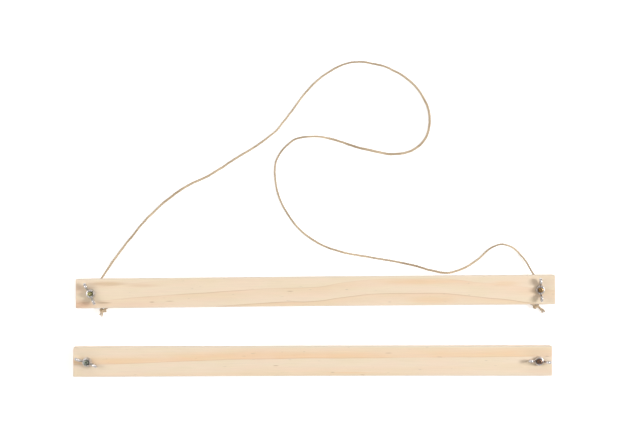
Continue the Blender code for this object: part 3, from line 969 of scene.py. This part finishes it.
def overhand():
    """The line of a tight overhand knot, in millimetres, with its middle at zero and its ends along X."""
    line = loose_overhand()
    index = np.arange(len(line))
    apart = np.abs(index[:, None] - index)
    for _ in range(KNOT_PULLS):
        middle = (line[:-2] + line[2:]) / 2
        line[1:-1] += 0.35 * (middle - line[1:-1])
        step = length_of(line) / (len(line) - 1)
        gap = line[:, None] - line
        far = norm(gap, axis=2) + 1e-9
        close = (far < TURN_GAP) & (apart * step > 1.45 * TURN_GAP)
        push = np.where(close, (TURN_GAP - far) / far * 0.5, 0.0)[..., None] * gap
        line[1:-1] += 0.9 * push.sum(1)[1:-1] / np.maximum(1, close.sum(1)[1:-1, None] * 0.5)
        line = evenly(line, length_of(line) / (len(line) - 1))
        line[0], line[-1] = (-KNOT_REACH, 0, 0), (KNOT_REACH, 0, 0)
    far = norm(line[:, None] - line, axis=2)
    tied = np.flatnonzero(((far < 1.25 * TURN_GAP) & (apart * step > 1.6 * TURN_GAP)).any(1))
    line = line[tied[0] - KNOT_LEAD:tied[-1] + KNOT_LEAD + 1]
    ahead = unit(line[-1] - line[0])
    beside = unit(np.cross(ahead, (0, 0, 1.0)))
    line = line @ np.stack([ahead, beside, np.cross(ahead, beside)], 1)
    return line - (line.max(0) + line.min(0)) / 2


def hitch_line(side):
    """The cord's way through the upper clamp: from its top edge to the bolt, and round it."""
    sign = SIDES[side]
    bolt = np.array(clamp_place("upper") @ Vector((BOLT_XS["upper", side] * MM, 0, 0))) / MM
    bolt[2] = (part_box("upper_front_slat")[0].z + SLAT_THICKNESS) / 2 / MM
    outer = CORD_ROUTE[0] if side == "left" else CORD_ROUTE[-1]
    radius = CORD_BOLT_RADIUS / MM

    def touch(target, way):
        """The angle, from the outer side, at which a straight run to the target leaves the bolt."""
        reach = math.acos(radius / norm(target))
        return math.atan2(target[1], -sign * target[0]) + way * reach

    upper, lower = [np.array(spot) - bolt[:2] for spot in (outer, HITCH_BENDS[side][0])]
    angles = np.linspace(touch(upper, 1), touch(lower, -1) + math.tau, HITCH_POINTS)
    arc = np.stack([-sign * radius * np.cos(angles), radius * np.sin(angles), np.zeros(HITCH_POINTS)], 1)
    return np.concatenate([[bolt + (*upper, 0.0)], bolt + arc])


def placed_knot(side, knot):
    """The knot where it hangs below the slat, turned to its heading, slope and roll."""
    turn, roll = math.radians(KNOT_HEADINGS[side]), math.radians(KNOT_ROLLS[side])
    heading = unit(np.array([math.cos(turn), math.sin(turn), KNOT_SLOPE]))
    lift = unit(np.array([0, 0, 1.0]) - heading * heading[2])
    up = lift * math.cos(roll) + np.cross(lift, heading) * math.sin(roll)
    middle = np.array([*KNOT_PLACES[side], KNOT_HEIGHT]) + KNOT_SHIFTS[side]
    return middle, middle + knot @ np.stack([heading, np.cross(up, heading), up])


def end_line(side, knot):
    """One end of the cord: the hitch round the bolt, the knot and the loose tail."""
    hitch = hitch_line(side)
    middle, placed = placed_knot(side, knot)
    tip = np.array([*TAIL_ENDS[side], CORD_REST_HEIGHT / MM])
    tip += unit(middle - tip) * TAIL_FRAY[side]
    bends = [(*spot, hitch[-1][2]) for spot in HITCH_BENDS[side]]
    steps = END_STEPS
    lead = smooth_curve([hitch[-2], hitch[-1], *bends, placed[0], placed[1]], steps)[steps:-steps]
    sag = placed[-1] * 0.4 + tip * 0.6 + (0, 0, 0.3)
    tail = smooth_curve([placed[-2], placed[-1], sag, tip], steps)[steps:]
    return np.concatenate([hitch[:-1], lead, placed[:-1], tail])


def cord_lines():
    """The free cord and its two ends, in millimetres; both ends start at the clamp's top edge."""
    knot = overhand()
    ends = {side: end_line(side, knot) for side in SIDES}
    flat = evenly(smooth_curve([(x, y, 0) for x, y in CORD_ROUTE], ROUTE_STEPS), ROUTE_SPACING)
    runs = np.arange(len(flat)) * length_of(flat) / (len(flat) - 1)
    near = np.minimum(runs, runs[-1] - runs)
    rest, high = CORD_REST_HEIGHT / MM, ends["left"][0][2]
    fall = np.maximum(0.0, 1 - near / (CORD_DROP_LENGTH / MM)) ** 2
    fade = np.clip(near / KINK_FADE, 0, 1)
    along = unit(np.gradient(flat, axis=0))
    beside = np.stack([-along[:, 1], along[:, 0], np.zeros(len(flat))], 1)
    rng = np.random.default_rng(LAY_SEED)
    kink = wander(rng, runs, *LONG_KINK) + wander(rng, runs, *SHORT_KINK)
    free = flat + beside * (kink * fade)[:, None]
    free[:, 2] = rest + (high - rest) * fall + np.abs(wander(rng, runs, *RISE)) * fade
    return free, ends


def twist_frame(line):
    """Two directions square to the line at every point, carried along it without turning about it."""
    along = unit(np.gradient(line, axis=0))
    sides = [unit(np.cross(along[0], (0, 0, 1.0)))]
    for direction in along[1:]:
        previous = sides[-1]
        sides.append(unit(previous - direction * np.dot(previous, direction)))
    sides = np.array(sides)
    return along, sides, np.cross(along, sides)


def ply_shell(rng, line, run, side, up, girth, splay, turn, ply):
    """One ply of the twine: rings of points round a centre that winds about the line."""
    angle = turn + math.tau * ply / PLIES + wander(rng, run, 5, 0.12)
    reach = PLY_REACH * girth * (1 + wander(rng, run, 4, 0.07)) * (1 + splay * (1.3 + 0.6 * ply))
    fat = PLY_RADIUS * girth * (1 + wander(rng, run, 2.7, 0.09)) * (1 - 0.25 * splay)
    out = np.cos(angle)[:, None] * side + np.sin(angle)[:, None] * up
    centre = line + reach[:, None] * out
    ahead = unit(np.gradient(centre, axis=0))
    outward = unit(out - ahead * (out * ahead).sum(1, keepdims=True))
    across = np.cross(ahead, outward)
    around = circle(PLY_COLUMNS)
    rough = 1 + 0.07 * rng.standard_normal((len(run), PLY_COLUMNS))
    ring = outward[:, None] * np.cos(around)[:, None] + across[:, None] * np.sin(around)[:, None]
    return centre[:, None] + ring * (fat[:, None] * rough)[..., None]


def ply_yarn(run, ply):
    """Each point's place on its ply's yarn, so that the fibres in the material wind along it."""
    around = circle(PLY_COLUMNS)
    spin = around - math.tau * run[:, None] / FIBRE_LAY
    lengthwise = np.broadcast_to((run * YARN_STRETCH + 40 * ply)[:, None], spin.shape)
    return np.stack([lengthwise, 1.3 * np.cos(spin), 1.3 * np.sin(spin)], 2).reshape(-1, 3)


def loose_fibre(rng, start, along, side, up, at_tip):
    """A thin fibre that leaves the twine and curls: triangles of points from its root to its end."""
    swing = rng.uniform(0, math.tau)
    out = math.cos(swing) * side + math.sin(swing) * up
    ahead = along * (1 if at_tip or rng.random() < 0.5 else -1)
    length = rng.uniform(1.6, 3.4) if at_tip else rng.uniform(0.9, 2.6)
    rise = rng.uniform(0.1, 0.6) if at_tip else rng.uniform(0.12, 0.42)
    curl = rng.uniform(-0.2, 0.2, 3)
    points = []
    for part in np.linspace(0, 1, 5):
        reach = rng.uniform(0.1, 0.6) if at_tip else 0.7
        spot = start + out * (reach + rise * length * part) + ahead * length * part
        points.append(spot + curl * length * part**2)
    thin = np.array([1.0, 0.9, 0.75, 0.5, 0.2]) * rng.uniform(0.022, 0.04)
    chord = points[-1] - points[0]
    square = unit(np.cross(chord, (0.3, 0.5, 0.8)))
    other = unit(np.cross(chord, square))
    corners = []
    for spot, wide in zip(points, thin):
        for bearing in circle(3):
            corners.append(spot + wide * (math.cos(bearing) * square + math.sin(bearing) * other))
    return corners


def twine_mesh(name, line, seed, phase, girths, frayed=False, hairs=1.2):
    """Three plies laid round one another along the line, with loose fibres; returns the mesh and its line."""
    rng = np.random.default_rng(seed)
    line = evenly(line, TWINE_STEP)
    run = np.arange(len(line)) * length_of(line) / (len(line) - 1)
    along, side, up = twist_frame(line)
    girth = np.interp(run, *zip(*girths)) + wander(rng, run, 11, 0.05)
    left = run[-1] - run
    splay = np.clip(1 - left / FRAY_LENGTH, 0, 1) ** 1.2 if frayed else np.zeros(len(run))
    turn = phase + math.tau * np.cumsum(1 - 0.85 * splay) * run[1] / LAY_LENGTH
    verts, faces, yarn = [], [], []
    for ply in range(PLIES):
        first = len(verts)
        verts.extend(ply_shell(rng, line, run, side, up, girth, splay, turn, ply).reshape(-1, 3))
        faces += grid_faces(len(run), PLY_COLUMNS, first) + cap_faces(len(run), PLY_COLUMNS, first)
        yarn.extend(ply_yarn(run, ply))
    shown_from = PINCHED_SHARE * run[-1] if frayed else 1.0
    starts = rng.uniform(shown_from, run[-1] - 1.0, int(hairs * (run[-1] - shown_from)))
    tips = run[-1] - 0.6 - rng.uniform(0, 1.2, TIP_FIBRES) if frayed else np.zeros(0)
    for number, place in enumerate(np.concatenate([starts, tips])):
        k = int(place / run[-1] * (len(run) - 1))
        first = len(verts)
        corners = loose_fibre(rng, line[k], along[k], side[k], up[k], number >= len(starts))
        verts.extend(corners)
        yarn.extend((place * YARN_STRETCH, 0.4 * (j % 3), number * 0.37) for j in range(len(corners)))
        faces += grid_faces(len(corners) // 3, 3, first) + cap_faces(len(corners) // 3, 3, first)
    verts = np.array(verts)
    verts[:, 2] = np.maximum(verts[:, 2], LOWEST_FIBRE)
    mesh = mesh_from(name, verts, faces, MM)
    mesh.shade_smooth()
    attribute = mesh.attributes.new("yarn", "FLOAT_VECTOR", "POINT")
    attribute.data.foreach_set("vector", np.array(yarn, np.float32).ravel())
    return mesh, line


def add_cord():
    free, ends = cord_lines()
    material = twine("cord_twine", (0.75, 0.61, 0.435, 1), (0.4, 0.295, 0.185, 1))
    mesh, line = twine_mesh("hanging_cord", free, FREE_SEED, 0.0, CORD_GIRTHS)
    cord = show("hanging_cord_twine", mesh, "upper_back", material, ["hanging_cord"])
    for side in SIDES:
        mesh, _ = twine_mesh(f"{side}_cord_end", ends[side], END_SEEDS[side], 0.6, END_GIRTHS, True, 0.8)
        nodes = [f"{side}_cord_{part}" for part in ("hitch", "knot", "tail")]
        show(f"{side}_cord_end_twine", mesh, "upper_back", material, nodes)
    length_of(line) * MM


def main():
    set_camera()
    set_floor()
    set_light()
    add_cord()
    add_slats()
    add_hardware()


main()
